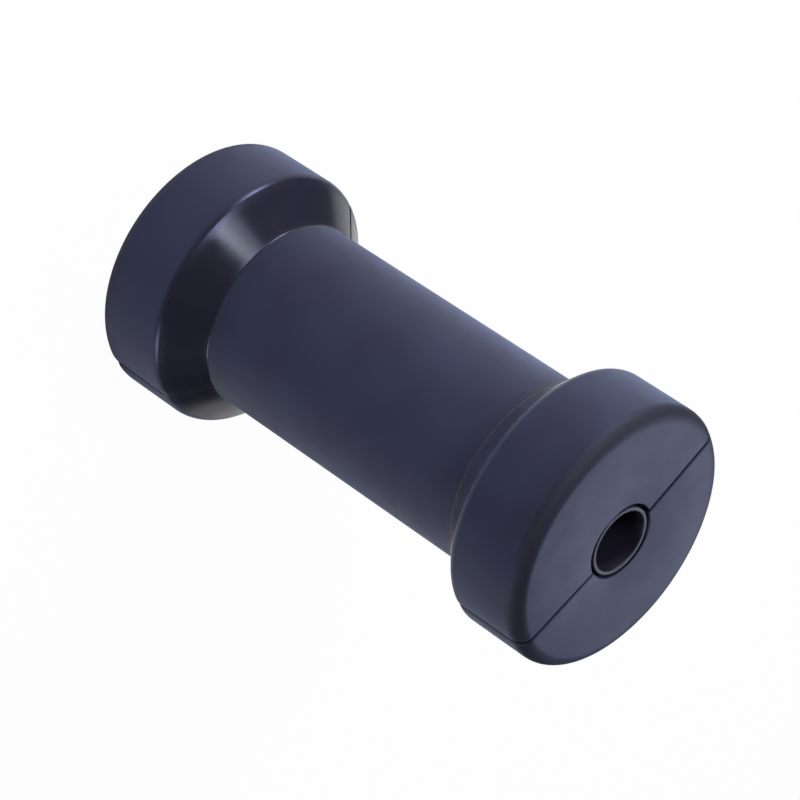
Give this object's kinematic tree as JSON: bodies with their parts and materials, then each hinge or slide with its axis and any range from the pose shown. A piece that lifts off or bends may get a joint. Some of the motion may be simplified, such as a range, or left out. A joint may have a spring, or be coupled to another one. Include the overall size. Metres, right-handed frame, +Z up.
{
  "type": "boat trailer keel roller",
  "caption": "Moulded rubber keel roller with thick end flanges, tapered inner shoulders, a plain cylindrical waist and a thin plastic liner tube in its through bore.",
  "frame": {"origin": "centre of the bottom end face, on the axis of the bore", "axes": "+Z up along the bore axis; the parting groove of the mould lies in the XZ plane, and the wider half of each mouth is on the +Y side"},
  "size_m": [0.095, 0.095, 0.2],
  "materials": {
    "rubber": "satin moulded black rubber with a blue cast",
    "liner_plastic": "smooth black plastic tube, cut square"
  },
  "bodies": {
    "root": {"roller_body": "rubber", "bore_liner": "liner_plastic"}
  },
  "joints": []
}
